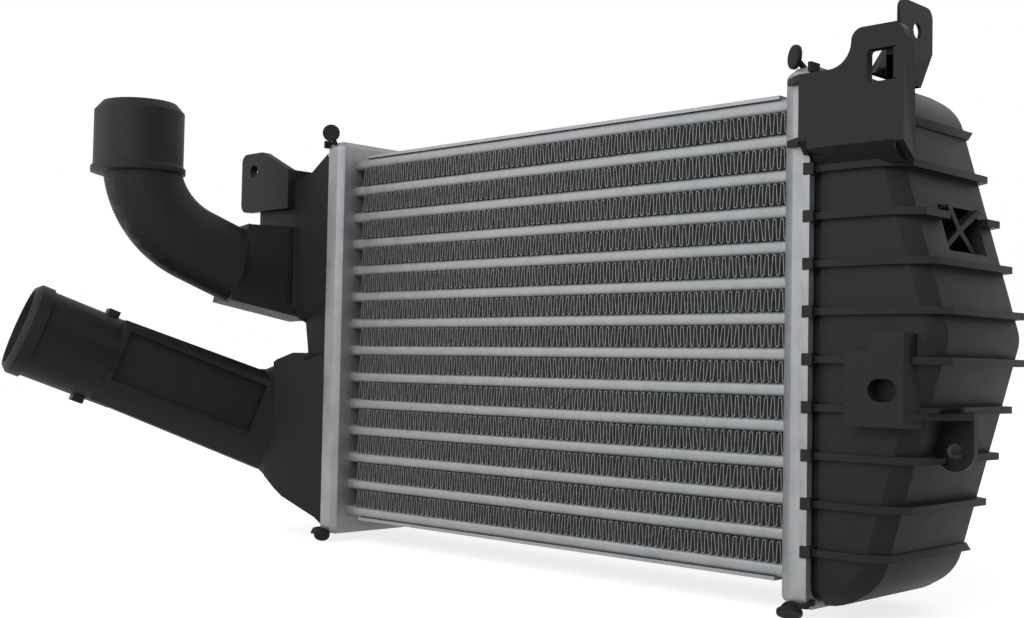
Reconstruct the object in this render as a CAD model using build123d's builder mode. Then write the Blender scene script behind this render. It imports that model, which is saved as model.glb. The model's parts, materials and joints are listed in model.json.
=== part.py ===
from build123d import *
import os
from math import cos, hypot, radians, sin, sqrt, tan

os.makedirs("parts", exist_ok=True)

# Charge-air intercooler, in millimetres. X runs along the core's tubes, Y to the back and Z up. The
# core's own zero is the middle of the tubes in X and Z, and the tubes' front face in Y. The part's
# origin is the middle of the bolt hole in the left tank's tab.

# Bolt hole in the left tank's tab, from the core's zero
TAB_HOLE_X = -221.5
TAB_HOLE_Z = 99.6
TAB_FRONT = -18.0
TAB_THICKNESS = 5.0
TAB_HOLE_RADIUS = 3.75
TAB_HOLE_Y = TAB_FRONT + TAB_THICKNESS / 2

# Core: flat tubes brazed to rows of folded fin
TUBE_COUNT = 14
TUBE_PITCH = 15.2
TUBE_HEIGHT = 5.9
TUBE_DEPTH = 63.3
TUBE_WALL = 0.5
TUBE_PAST_HEADER = 1.6
FIN_SPAN = 275.0
FIN_FOLDS = 15
FIN_THICKNESS = 0.4
TURBULATOR_FOLDS = 3
TURBULATOR_THICKNESS = 0.3
BRAZE_GAP = 0.03
SIDE_PLATE_THICKNESS = 1.6

# Headers: pressed trays with their open side away from the core
HEADER_FACE = 148.0
HEADER_RISE = 11.0
HEADER_DEPTH = 83.5
HEADER_MARGIN = 10.25
HEADER_WALL = 1.6
HEADER_CORNER = 5.0
HEADER_FOLD = 3.0
RIM_LIP = 1.8
RIM_LIP_REACH = 2.1
RIM_NOTCH_WIDTH = 5.0
RIM_NOTCH_DEPTH = 3.0
FIT = 0.1

# Tanks: glass-filled nylon mouldings with a foot under the header's crimped rim
TANK_WALL = 3.0
RIM_STEP = 1.7
TANK_EDGE = 6.0
GROOVE_WIDTH = 3.0
GROOVE_DEPTH = 1.5
FOOT_CORNER = 10.0
NECK_CORNER = 6.0
GASKET_THICKNESS = 2.2
GASKET_WIDTH = 3.4
PULL_TAB_RADIUS = 4.8
PULL_TAB_THICKNESS = 2.2
PULL_TAB_RISE = 0.7
PULL_CORD_RADIUS = 0.85
PULL_CORD_INSET = 1.8
PULL_NECK = 7.0
PULL_NECK_SHORT = 1.5
PULL_BACK = 7.0
CORNER_ROOM = 6.0

# Right tank: roof-shaped end with ribs all round
RIGHT_END = 182.5
RIGHT_SLOPE = 0.282
RIGHT_SHOULDER = 26.0
RIGHT_PEAK_ROUND = 14.0
RIB_COUNT = 10
RIB_PITCH = 19.63
RIB_WIDTH = 3.0
RIB_PROUD = 2.3
RIB_DRAW_IN = 1.2
KEY_PAST_RIM = 2.0
KEY_PROUD = 0.5
SLOT_BOSS_LEFT = 177.8
SLOT_BOSS_RIGHT = 203.6
SLOT_BOSS_BOTTOM = -36.0
SLOT_BOSS_TOP = -6.0
SLOT_BOSS_FRONT = -14.0
SLOT_BOSS_RISE = 6.8
SLOT_BOSS_STEP = 10.2
SLOT_DEPTH = 7.0
SLOT_X = 194.4
SLOT_Z = -21.6
SLOT_LENGTH = 12.3
SLOT_WIDTH = 9.0
LUG_Y = 18.0
LUG_THICKNESS = 3.5
LUG_LEFT = 201.0
LUG_RIGHT = 217.0
LUG_HOLE_Z = -45.5
LUG_HOLE_RADIUS = 3.2
LEDGE_TOP = -30.0
LEDGE_THICKNESS = 3.0
LEDGE_ROOT_X = 195.0
LEDGE_ROOT_Y = 30.0
PAD_Y = 36.0
PAD_Z = 44.5
PAD_LENGTH = 34.0
PAD_HEIGHT = 19.0
PAD_POCKET = 4.0
PAD_BACKING = 4.0
PAD_BAR = 2.6
PAD_BAR_ANGLE = 33.0
PAD_BAR_PROUD = 2.5

# Bracket on the right header
BRACKET_FRONT = -16.0
BRACKET_THICKNESS = 4.5
BRACKET_LEFT = 157.0
BRACKET_RIGHT = 206.0
BRACKET_BOTTOM = 75.0
BRACKET_SHOULDER = 107.0
BRACKET_TOP = 122.0
BRACKET_STEP_X = 181.0
BRACKET_STEP_ROUND = 8.0
WINDOW_LEFT = 188.0
WINDOW_RIGHT = 201.5
WINDOW_BOTTOM = 99.5
WINDOW_TOP = 112.5
BRACKET_TAB_X = 175.0
BRACKET_TAB_THICKNESS = 3.5
BRACKET_HOLE_Y = 50.6
BRACKET_HOLE_Z = 135.0
BRACKET_HOLE_RADIUS = 3.5
BRACKET_TAB_FRONT = 35.3
BRACKET_TAB_BACK = 64.7
BRACKET_TAB_TOP = 147.0
BRACKET_TAB_START = 14.3
BRACKET_STRAP_LEFT = 194.0
BRACKET_STRAP_BACK = 34.0
BRACKET_STRAP_CROSS = 22.0
BRACKET_FOLD_Z = 127.0
BRACKET_FLOOR = 71.4
BRACKET_WALL = 3.5
BRACKET_CORNER = 5.0
WINDOW_CORNER = 1.5
HOOK_REACH = 151.5
HOOK_THICKNESS = 3.0

# Left tank: two chambers with a waist between them, one for each pipe
PORT_AZIMUTH = 19.6
WAIST_X = -182.0
WAIST_HALF = 8.0
CHAMBER_REACH = -26.0
CHAMBER_CUT = 40.0
FACET_REACH = 3.0
TAB_LEFT = -234.0
TAB_RIGHT = -187.0
TAB_BOTTOM = 75.0
TAB_TOP = 110.5
TAB_SHOULDER_X = -213.0
TAB_SHOULDER_Z = 98.0
TAB_CORNER = 5.0
TAB_RETURN_FRONT = -222.0
TAB_RETURN_BACK = -218.0
UPPER_FLOOR = 22.0
LOWER_ROOF = -19.7
PORT_X = -211.4
PORT_Y = -37.5
PORT_Z = 41.3
PORT_ELEVATION = 12.0
PORT_OFFSET = 2.5
PORT_WIDTH = 43.0
PORT_BOTTOM = 19.6
PORT_TOP = 64.0
PORT_DEPTH = 42.0
PORT_WALL = 4.5
PORT_FACE = 27.0
PORT_GROOVE_WIDTH = 3.0
PORT_GROOVE_DEPTH = 2.5
PORT_WEB_LIFT = 1.6
PORT_COLLAR = 24.0
PORT_COLLAR_TURN = 8.0
FLANGE_THICKNESS = 1.5

# Pipes: hose spigots of one bore and one outer size
SPIGOT_RADIUS = 25.0
SPIGOT_WALL = 3.0
BEAD_RADIUS = 26.3
BEAD_LENGTH = 10.0
BEAD_CHAMFER = 3.0
BEAD_SLOPE = 0.6
SPIGOT_CHAMFER = 5.0
SPIGOT_CHAMFER_IN = 4.3
BEAD_HALF = 1.5
BEAD_FLARE = 3.0
ELBOW_X = -230.4
ELBOW_Y = -90.8
ELBOW_BEAD_Z = 92.1
ELBOW_RISE = 38.5
ELBOW_SHIFT = 3.2
ELBOW_BEND = 52.0
ELBOW_BEND_START = 6.9
ELBOW_TURN = 65.7
ELBOW_RADIUS = 21.3
ELBOW_RUN = 34.0
BEND_SIDES = 24
ELBOW_RIM = 1.2
PIPE_X = -265.8
PIPE_Y = -141.4
PIPE_Z = 2.1
PIPE_ELEVATION = 20.7
PIPE_STOP = 41.0
PIPE_STOP_LENGTH = 6.5
PIPE_STOP_WIDTH = 12.0
PIPE_STOP_RADIUS = 28.0
PIPE_ROUND_END = 62.0
PIPE_BODY_START = 50.0
PIPE_BODY_END = 160.0
PIPE_BODY_WIDTH = 48.0
PIPE_ROOT_WIDTH = 50.0
PIPE_ROOT_HEIGHT = 55.0
PIPE_BODY_CORNER = 13.0
PIPE_TOP_CORNER = 5.0
PIPE_BORE = 17.5
PANEL_START = 54.0
PANEL_LENGTH = 84.0
PANEL_DEPTH = 3.5
PANEL_TOP = 18.5
PANEL_BOTTOM = -10.0

# Left tank's upper shoulder, where its top slopes down to the port
SHOULDER_X = -175.0
SHOULDER_Z = 95.5

MID_Y = TUBE_DEPTH / 2
STACK_TOP = (TUBE_COUNT - 1) * TUBE_PITCH / 2 + TUBE_HEIGHT / 2
HEADER_HEIGHT = 2 * (STACK_TOP + HEADER_MARGIN)
TANK_HEIGHT = HEADER_HEIGHT - 2 * RIM_STEP
RIGHT_PEAK = RIGHT_END + RIGHT_SLOPE * TANK_HEIGHT / 2
RIM = HEADER_FACE + HEADER_RISE
CAVITY_DEPTH = HEADER_DEPTH - 2 * HEADER_WALL
CAVITY_HEIGHT = HEADER_HEIGHT - 2 * HEADER_WALL
FOOT_DEPTH = CAVITY_DEPTH - 2 * FIT
FOOT_HEIGHT = CAVITY_HEIGHT - 2 * FIT
NECK_DEPTH = CAVITY_DEPTH - 2 * RIM_LIP_REACH - 2 * FIT
NECK_HEIGHT = CAVITY_HEIGHT - 2 * RIM_LIP_REACH - 2 * FIT
FOOT_START = HEADER_FACE + HEADER_WALL + GASKET_THICKNESS
FOOT_END = RIM - RIM_LIP - FIT
BODY_START = RIM + FIT
TANK_DEPTH = NECK_DEPTH
HEADER_FRONT = MID_Y - HEADER_DEPTH / 2
TANK_FRONT = MID_Y - TANK_DEPTH / 2
TANK_BACK = MID_Y + TANK_DEPTH / 2
TUBE_LEVELS = [(i - (TUBE_COUNT - 1) / 2) * TUBE_PITCH for i in range(TUBE_COUNT)]
RIB_LEVELS = [(i - (RIB_COUNT - 1) / 2) * RIB_PITCH for i in range(RIB_COUNT)]
FIN_HEIGHT = TUBE_PITCH - TUBE_HEIGHT - 2 * BRAZE_GAP

CORE_ZERO = Vector(TAB_HOLE_X, TAB_HOLE_Y, TAB_HOLE_Z)


def front(y):
    """Plane at depth y that looks to the front, with X to the right and Z up."""
    return Plane(origin=(-TAB_HOLE_X, y - TAB_HOLE_Y, -TAB_HOLE_Z), x_dir=(1, 0, 0), z_dir=(0, -1, 0))


def side(x):
    """Plane at x that looks along +X, with Y to the right and Z up."""
    return Plane(origin=(x - TAB_HOLE_X, -TAB_HOLE_Y, -TAB_HOLE_Z), x_dir=(0, 1, 0), z_dir=(1, 0, 0))


def level(z):
    """Plane at height z that looks up, with X to the right and Y to the back."""
    return Plane(origin=(-TAB_HOLE_X, -TAB_HOLE_Y, z - TAB_HOLE_Z), x_dir=(1, 0, 0), z_dir=(0, 0, 1))


def along(x, y, z, azimuth, elevation):
    """Plane through a point, looking out of a port that is turned and tilted from the front."""
    out = (
        -sin(radians(azimuth)) * cos(radians(elevation)),
        -cos(radians(azimuth)) * cos(radians(elevation)),
        sin(radians(elevation)),
    )
    across = (cos(radians(azimuth)), -sin(radians(azimuth)), 0)
    return Plane(origin=(x - TAB_HOLE_X, y - TAB_HOLE_Y, z - TAB_HOLE_Z), x_dir=across, z_dir=out)


def folded_strip(span, height, folds, thickness):
    """Outline of a strip folded to and fro along its span, centred on zero."""
    leg = span / (2 * folds)
    stand = thickness * hypot(leg, height) / leg
    swing = (height - stand) / 2
    tops = [(-span / 2 + i * leg, swing * (-1) ** i + stand / 2) for i in range(2 * folds + 1)]
    bottoms = [(x, z - stand) for x, z in reversed(tops)]
    return tops + bottoms


def flat_oval(length, height):
    """Outline of a flat tube with three-sided noses, centred on zero."""
    flat = (length - height) / 2
    right = [(flat, -height / 2), (flat + height * sqrt(3) / 4, -height / 4),
             (flat + height * sqrt(3) / 4, height / 4), (flat, height / 2)]
    return right + [(-u, v) for u, v in reversed(right)]


# Flat tubes, each with a folded turbulator inside
for number, z in enumerate(reversed(TUBE_LEVELS), start=1):
    with BuildPart() as tube:
        with BuildSketch(side(-HEADER_FACE - HEADER_WALL - TUBE_PAST_HEADER)):
            with BuildLine():
                Polyline([(MID_Y + u, z + v) for u, v in flat_oval(TUBE_DEPTH, TUBE_HEIGHT)], close=True)
            make_face()
            with BuildLine():
                inside = flat_oval(TUBE_DEPTH - 2 * TUBE_WALL, TUBE_HEIGHT - 2 * TUBE_WALL)
                Polyline([(MID_Y + u, z + v) for u, v in inside], close=True)
            make_face(mode=Mode.SUBTRACT)
        extrude(amount=2 * (HEADER_FACE + HEADER_WALL + TUBE_PAST_HEADER))
    tube.part.label = f"tube_{number:02d}"
    export_step(tube.part, f"parts/tube_{number:02d}.step")

    with BuildPart() as turbulator:
        with BuildSketch(side(-HEADER_FACE)):
            with BuildLine():
                inner_height = TUBE_HEIGHT - 2 * TUBE_WALL - 2 * BRAZE_GAP
                strip = folded_strip(TUBE_DEPTH - TUBE_HEIGHT, inner_height, TURBULATOR_FOLDS,
                                     TURBULATOR_THICKNESS)
                Polyline([(MID_Y + u, z + v) for u, v in strip], close=True)
            make_face()
        extrude(amount=2 * HEADER_FACE)
    turbulator.part.label = f"turbulator_{number:02d}"
    export_step(turbulator.part, f"parts/turbulator_{number:02d}.step")

# Rows of cooling fin between the tubes
for number, z in enumerate(reversed(TUBE_LEVELS[:-1]), start=1):
    with BuildPart() as fin:
        with BuildSketch(front(TUBE_DEPTH)):
            with BuildLine():
                strip = folded_strip(FIN_SPAN, FIN_HEIGHT, FIN_FOLDS, FIN_THICKNESS)
                Polyline([(u, z + TUBE_PITCH / 2 + v) for u, v in strip], close=True)
            make_face()
        extrude(amount=TUBE_DEPTH)
    fin.part.label = f"fin_{number:02d}"
    export_step(fin.part, f"parts/fin_{number:02d}.step")

# Side plates over the outermost tubes
for name, z in (("top_side_plate", STACK_TOP), ("bottom_side_plate", -STACK_TOP - SIDE_PLATE_THICKNESS)):
    with BuildPart() as side_plate:
        with BuildSketch(level(z)):
            with Locations((0, MID_Y)):
                Rectangle(FIN_SPAN, TUBE_DEPTH)
        extrude(amount=SIDE_PLATE_THICKNESS)
    side_plate.part.label = name
    export_step(side_plate.part, f"parts/{name}.step")

# Headers and gaskets, one pair at each end
CORD_Y = MID_Y - FOOT_DEPTH / 2 + PULL_CORD_INSET
CORD_Z = FOOT_HEIGHT / 2 - PULL_CORD_INSET
for end, sign in (("left", -1), ("right", 1)):
    with BuildPart() as header:
        with BuildSketch(side(sign * HEADER_FACE)):
            with Locations((MID_Y, 0)):
                RectangleRounded(HEADER_DEPTH, HEADER_HEIGHT, HEADER_CORNER)
        extrude(amount=sign * HEADER_RISE)
        core_side = header.faces().filter_by(Axis.X).sort_by(Axis.X, reverse=sign < 0)[0]
        chamfer(core_side.edges(), length=HEADER_FOLD)
        with BuildSketch(side(sign * (HEADER_FACE + HEADER_WALL))):
            with Locations((MID_Y, 0)):
                RectangleRounded(CAVITY_DEPTH, CAVITY_HEIGHT, HEADER_CORNER - HEADER_WALL)
        extrude(amount=sign * (HEADER_RISE - HEADER_WALL - RIM_LIP), mode=Mode.SUBTRACT)
        with BuildSketch(side(sign * (RIM - RIM_LIP))):
            with Locations((MID_Y, 0)):
                RectangleRounded(NECK_DEPTH + 2 * FIT, NECK_HEIGHT + 2 * FIT, NECK_CORNER)
            with Locations(*[(CORD_Y, z) for z in (-CORD_Z, CORD_Z)]):
                Rectangle(2 * (PULL_CORD_RADIUS + FIT), 2 * (PULL_CORD_RADIUS + FIT))
        extrude(amount=sign * RIM_LIP, mode=Mode.SUBTRACT)
        with BuildSketch(side(sign * HEADER_FACE)):
            for z in TUBE_LEVELS:
                with BuildLine():
                    slot = flat_oval(TUBE_DEPTH + 2 * BRAZE_GAP, TUBE_HEIGHT + 2 * BRAZE_GAP)
                    Polyline([(MID_Y + u, z + v) for u, v in slot], close=True)
                make_face()
        extrude(amount=sign * HEADER_WALL, mode=Mode.SUBTRACT)
        if end == "right":
            with BuildSketch(side(RIM)):
                with Locations(*[(MID_Y, z) for z in RIB_LEVELS]):
                    Rectangle(HEADER_DEPTH, RIM_NOTCH_WIDTH)
            extrude(amount=-RIM_NOTCH_DEPTH, mode=Mode.SUBTRACT)
    header.part.label = f"{end}_header"
    export_step(header.part, f"parts/{end}_header.step")

    with BuildPart() as gasket:
        with BuildSketch(side(sign * (HEADER_FACE + HEADER_WALL))):
            with Locations((MID_Y, 0)):
                RectangleRounded(FOOT_DEPTH, FOOT_HEIGHT, HEADER_CORNER - HEADER_WALL)
                RectangleRounded(FOOT_DEPTH - 2 * GASKET_WIDTH, FOOT_HEIGHT - 2 * GASKET_WIDTH,
                                 HEADER_CORNER, mode=Mode.SUBTRACT)
        extrude(amount=sign * GASKET_THICKNESS)
        with BuildSketch(side(sign * (HEADER_FACE + HEADER_WALL))):
            with Locations(*[(CORD_Y, z) for z in (-CORD_Z, CORD_Z)]):
                Rectangle(2 * PULL_CORD_RADIUS, 2 * PULL_CORD_RADIUS)
        extrude(amount=sign * (HEADER_RISE - HEADER_WALL + 2 * PULL_CORD_RADIUS + FIT))
        tab_middle = RIM + PULL_CORD_RADIUS + FIT
        tab_back = PULL_BACK if end == "right" else 0
        for up, neck in ((1, PULL_NECK), (-1, PULL_NECK_SHORT)):
            with BuildSketch(front(CORD_Y + PULL_CORD_RADIUS)):
                with BuildLine():
                    Polyline((sign * (tab_middle - PULL_CORD_RADIUS), up * CORD_Z),
                             (sign * (tab_middle + PULL_CORD_RADIUS), up * CORD_Z),
                             (sign * (tab_middle + PULL_CORD_RADIUS), up * (CORD_Z + neck)),
                             (sign * (tab_middle - PULL_CORD_RADIUS), up * (CORD_Z + neck)), close=True)
                make_face()
            extrude(amount=HEADER_CORNER + 2 * PULL_CORD_RADIUS)
            disc_z = up * (CORD_Z + neck + PULL_TAB_RADIUS * PULL_TAB_RISE)
            with BuildSketch(front(HEADER_FRONT - FIT)):
                with Locations((sign * (tab_middle - tab_back), disc_z)):
                    Circle(PULL_TAB_RADIUS)
                with Locations((sign * (tab_middle - tab_back / 2), up * (CORD_Z + neck))):
                    Rectangle(tab_back + 2 * PULL_CORD_RADIUS, 2 * PULL_CORD_RADIUS)
            extrude(amount=PULL_TAB_THICKNESS)
    gasket.part.label = f"{end}_gasket"
    export_step(gasket.part, f"parts/{end}_gasket.step")


# Hollow of the right tank, open to the core
with BuildPart() as right_hollow:
    with BuildSketch(front(TANK_BACK - TANK_WALL)):
        half = TANK_HEIGHT / 2 - TANK_WALL
        shoulder = half - RIGHT_SHOULDER
        inner_peak = RIGHT_PEAK - TANK_WALL - RIGHT_SLOPE * RIGHT_PEAK_ROUND / 2
        inner_end = inner_peak - RIGHT_SLOPE * shoulder
        inner_top = inner_end - RIGHT_SHOULDER * 2 / 3
        with BuildLine():
            Polyline((FOOT_START - 1, -half), (inner_top, -half), (inner_end, -shoulder), (inner_peak, 0),
                     (inner_end, shoulder), (inner_top, half), (FOOT_START - 1, half), close=True)
        make_face()
    extrude(amount=TANK_DEPTH - 2 * TANK_WALL)
    inner = right_hollow.faces().filter_by(Axis.Y)
    inner_edges = [e for f in inner for e in f.edges()
                   if e.bounding_box().max.X + TAB_HOLE_X > FOOT_START]
    chamfer(inner_edges, length=TANK_EDGE - TANK_WALL * (2 - sqrt(2)))

# Right tank
with BuildPart() as right_tank:
    with BuildSketch(front(TANK_BACK)) as end_sketch:
        half = TANK_HEIGHT / 2
        with BuildLine():
            Polyline((BODY_START, -half), (RIGHT_END, -half), (RIGHT_PEAK, 0), (RIGHT_END, half),
                     (BODY_START, half), close=True)
        make_face()
        fillet(end_sketch.vertices().sort_by(Axis.X)[-1], radius=RIGHT_PEAK_ROUND)
        shoulders = end_sketch.vertices().filter_by(lambda v: v.X > BODY_START and abs(v.Y) > half - 1)
        fillet(shoulders, radius=RIGHT_SHOULDER)
    extrude(amount=TANK_DEPTH)
    outer = right_tank.faces().filter_by(Axis.Y)
    outer_edges = [e for f in outer for e in f.edges()
                   if e.bounding_box().max.X + TAB_HOLE_X > BODY_START + 1]
    chamfer(outer_edges, length=TANK_EDGE)
    # Groove beside the rim
    with BuildSketch(side(BODY_START)):
        with Locations((MID_Y, 0)):
            Rectangle(TANK_DEPTH + 2, TANK_HEIGHT + 2)
            RectangleRounded(TANK_DEPTH - 2 * GROOVE_DEPTH, TANK_HEIGHT - 2 * GROOVE_DEPTH, NECK_CORNER,
                             mode=Mode.SUBTRACT)
    extrude(amount=GROOVE_WIDTH, mode=Mode.SUBTRACT)
    # Ribs, with ends that key into the rim's notches
    rib_front = TANK_FRONT - RIB_PROUD
    rib_back = TANK_BACK + RIB_PROUD
    rib_corner = TANK_EDGE + RIB_PROUD * (2 - sqrt(2))
    for z in RIB_LEVELS:
        rib_end = RIGHT_PEAK - RIGHT_SLOPE * abs(z) + RIB_PROUD
        if abs(z) > TANK_HEIGHT / 2 - RIGHT_SHOULDER:
            rib_end -= RIB_DRAW_IN
        with BuildSketch(level(z - RIB_WIDTH / 2)):
            with BuildLine():
                Polyline((BODY_START, rib_front), (rib_end - rib_corner, rib_front),
                         (rib_end, rib_front + rib_corner), (rib_end, rib_back - rib_corner),
                         (rib_end - rib_corner, rib_back), (BODY_START, rib_back), close=True)
            make_face()
        extrude(amount=RIB_WIDTH)
        with BuildSketch(level(z - RIM_NOTCH_WIDTH / 2 + FIT)):
            with Locations((RIM + (KEY_PAST_RIM - RIM_NOTCH_DEPTH + FIT) / 2, MID_Y)):
                Rectangle(KEY_PAST_RIM + RIM_NOTCH_DEPTH - FIT, HEADER_DEPTH + 2 * KEY_PROUD)
        extrude(amount=RIM_NOTCH_WIDTH - 2 * FIT)
    with BuildSketch(side(FOOT_START)):
        with Locations((MID_Y, 0)):
            RectangleRounded(FOOT_DEPTH, FOOT_HEIGHT, FOOT_CORNER)
    extrude(amount=FOOT_END - FOOT_START)
    with BuildSketch(side(FOOT_END)):
        with Locations((MID_Y, 0)):
            RectangleRounded(NECK_DEPTH, NECK_HEIGHT, NECK_CORNER)
    extrude(amount=BODY_START - FOOT_END)
    # Slotted boss on the front, with its ledge and lug on the end
    with BuildSketch(front(TANK_FRONT + TANK_WALL)):
        with BuildLine():
            boss_step = SLOT_BOSS_LEFT + SLOT_BOSS_STEP
            boss_high = SLOT_BOSS_TOP + SLOT_BOSS_RISE
            Polyline((SLOT_BOSS_LEFT, SLOT_BOSS_BOTTOM), (SLOT_BOSS_RIGHT, SLOT_BOSS_BOTTOM),
                     (SLOT_BOSS_RIGHT, boss_high), (boss_step, boss_high), (boss_step, SLOT_BOSS_TOP),
                     (SLOT_BOSS_LEFT, SLOT_BOSS_TOP), close=True)
        make_face()
    extrude(amount=TANK_FRONT + TANK_WALL - SLOT_BOSS_FRONT)
    with BuildSketch(level(LEDGE_TOP)):
        with BuildLine():
            Polyline((SLOT_BOSS_LEFT + SLOT_BOSS_STEP, SLOT_BOSS_FRONT), (SLOT_BOSS_RIGHT, SLOT_BOSS_FRONT),
                     (LUG_RIGHT, LUG_Y), (LUG_RIGHT, LUG_Y + LUG_THICKNESS), (LEDGE_ROOT_X, LEDGE_ROOT_Y),
                     close=True)
        make_face()
    extrude(amount=-LEDGE_THICKNESS)
    with BuildSketch(front(LUG_Y + LUG_THICKNESS)):
        with BuildLine():
            Line((LUG_LEFT, LUG_HOLE_Z), (LUG_LEFT, LEDGE_TOP))
            Line((LUG_LEFT, LEDGE_TOP), (LUG_RIGHT, LEDGE_TOP))
            Line((LUG_RIGHT, LEDGE_TOP), (LUG_RIGHT, LUG_HOLE_Z))
            RadiusArc((LUG_RIGHT, LUG_HOLE_Z), (LUG_LEFT, LUG_HOLE_Z), (LUG_RIGHT - LUG_LEFT) / 2)
        make_face()
    extrude(amount=LUG_THICKNESS)
    add(right_hollow.part, mode=Mode.SUBTRACT)
    with BuildSketch(front(SLOT_BOSS_FRONT)):
        with Locations((SLOT_X, SLOT_Z)):
            SlotOverall(SLOT_LENGTH, SLOT_WIDTH)
    extrude(amount=-SLOT_DEPTH, mode=Mode.SUBTRACT)
    with BuildSketch(front(LUG_Y + LUG_THICKNESS)):
        with Locations(((LUG_LEFT + LUG_RIGHT) / 2, LUG_HOLE_Z)):
            Circle(LUG_HOLE_RADIUS)
    extrude(amount=LUG_THICKNESS, mode=Mode.SUBTRACT)
    # Pocket with crossed bars on the end's upper slope, and the backing behind it
    slope_low = RIGHT_PEAK - RIGHT_SLOPE * (PAD_Z + PAD_HEIGHT / 2 + TANK_WALL)
    pocket_floor = slope_low - PAD_POCKET
    with BuildSketch(side(slope_low - 1)):
        with Locations((PAD_Y, PAD_Z)):
            Rectangle(PAD_LENGTH + 2 * TANK_WALL, PAD_HEIGHT + 2 * TANK_WALL)
    extrude(amount=-PAD_POCKET - PAD_BACKING)
    with BuildSketch(side(pocket_floor)):
        with Locations((PAD_Y, PAD_Z)):
            Rectangle(PAD_LENGTH, PAD_HEIGHT)
    extrude(amount=RIGHT_PEAK - pocket_floor, mode=Mode.SUBTRACT)
    with BuildSketch(side(pocket_floor)):
        with Locations((PAD_Y, PAD_Z)):
            for turn in (-PAD_BAR_ANGLE, PAD_BAR_ANGLE):
                Rectangle(PAD_LENGTH, PAD_BAR, rotation=turn)
            Rectangle(PAD_LENGTH, PAD_HEIGHT, mode=Mode.INTERSECT)
    extrude(amount=slope_low + PAD_BAR_PROUD - pocket_floor)
right_tank.part.label = "right_tank"
export_step(right_tank.part, "parts/right_tank.step")

# Bracket that hooks on the right header's front
bracket_back = BRACKET_FRONT + BRACKET_THICKNESS
with BuildPart() as bracket:
    with BuildSketch(front(bracket_back)) as plate_sketch:
        with BuildLine():
            Polyline((BRACKET_LEFT, BRACKET_BOTTOM + 2), (BRACKET_RIGHT, BRACKET_BOTTOM - 2),
                     (BRACKET_RIGHT, BRACKET_TOP), (BRACKET_STEP_X, BRACKET_TOP),
                     (BRACKET_STEP_X, BRACKET_SHOULDER), (BRACKET_LEFT, BRACKET_SHOULDER), close=True)
        make_face()
        top_corners = plate_sketch.vertices().group_by(Axis.Y)[-1]
        step = plate_sketch.vertices().group_by(Axis.Y)[-2].sort_by(Axis.X)[-1]
        fillet(top_corners, radius=BRACKET_CORNER)
        fillet(step, radius=BRACKET_STEP_ROUND)
        with Locations(((WINDOW_LEFT + WINDOW_RIGHT) / 2, (WINDOW_BOTTOM + WINDOW_TOP) / 2)):
            RectangleRounded(WINDOW_RIGHT - WINDOW_LEFT, WINDOW_TOP - WINDOW_BOTTOM, WINDOW_CORNER,
                             mode=Mode.SUBTRACT)
    extrude(amount=BRACKET_THICKNESS)
    # Hooks over the header's fold
    for hook_z in (BRACKET_SHOULDER - HOOK_THICKNESS, BRACKET_BOTTOM + 3):
        with BuildSketch(level(hook_z)):
            with BuildLine():
                Polyline((HOOK_REACH, HEADER_FRONT - FIT), (HOOK_REACH + 2, BRACKET_FRONT + 2),
                         (BRACKET_LEFT, BRACKET_FRONT), (BRACKET_LEFT + 4, BRACKET_FRONT),
                         (BRACKET_LEFT + 4, HEADER_FRONT - FIT), close=True)
            make_face()
        extrude(amount=HOOK_THICKNESS)
    # Right wall and sloping floor behind the plate
    with BuildSketch(side(BRACKET_RIGHT)):
        with BuildLine():
            Polyline((BRACKET_FRONT, BRACKET_BOTTOM - 2), (BRACKET_FRONT, BRACKET_TOP - BRACKET_CORNER),
                     (TANK_FRONT - FIT, BRACKET_TOP - 2 * BRACKET_CORNER), (TANK_FRONT - FIT, BRACKET_FLOOR),
                     close=True)
        make_face()
    extrude(amount=-BRACKET_WALL)
    with BuildSketch(side(RIM + 2)):
        with BuildLine():
            Polyline((BRACKET_FRONT, BRACKET_BOTTOM - 1.5), (BRACKET_FRONT, BRACKET_BOTTOM + 2),
                     (TANK_FRONT - FIT, BRACKET_FLOOR + BRACKET_WALL), (TANK_FRONT - FIT, BRACKET_FLOOR),
                     close=True)
        make_face()
    extrude(amount=BRACKET_RIGHT - BRACKET_WALL / 2 - RIM - 2)
    # Strap over the tank's top, and the rear tab that stands on it
    rest_z = TANK_HEIGHT / 2 + FIT
    with BuildSketch(level(rest_z)):
        with BuildLine():
            tab_left = BRACKET_TAB_X - BRACKET_TAB_THICKNESS
            Polyline((BRACKET_STRAP_LEFT, bracket_back), (BRACKET_RIGHT, bracket_back),
                     (BRACKET_RIGHT, BRACKET_STRAP_BACK), (tab_left, BRACKET_STRAP_BACK),
                     (tab_left, BRACKET_STRAP_CROSS), (BRACKET_STRAP_LEFT, BRACKET_STRAP_CROSS), close=True)
        make_face()
    extrude(amount=BRACKET_WALL)
    with BuildSketch(side(BRACKET_TAB_X)) as tab_sketch:
        with BuildLine():
            Polyline((BRACKET_TAB_START, rest_z), (BRACKET_HOLE_Y + BRACKET_HOLE_RADIUS, rest_z),
                     (BRACKET_TAB_BACK, BRACKET_FOLD_Z), (BRACKET_TAB_BACK, BRACKET_TAB_TOP),
                     (BRACKET_TAB_FRONT, BRACKET_TAB_TOP), (BRACKET_TAB_FRONT, BRACKET_HOLE_Z), close=True)
        make_face()
        fillet(tab_sketch.vertices().group_by(Axis.Y)[-1], radius=BRACKET_CORNER)
        with Locations((BRACKET_HOLE_Y, BRACKET_HOLE_Z)):
            Circle(BRACKET_HOLE_RADIUS, mode=Mode.SUBTRACT)
    extrude(amount=-BRACKET_TAB_THICKNESS)
bracket.part.label = "mounting_bracket"
export_step(bracket.part, "parts/mounting_bracket.step")


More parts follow.
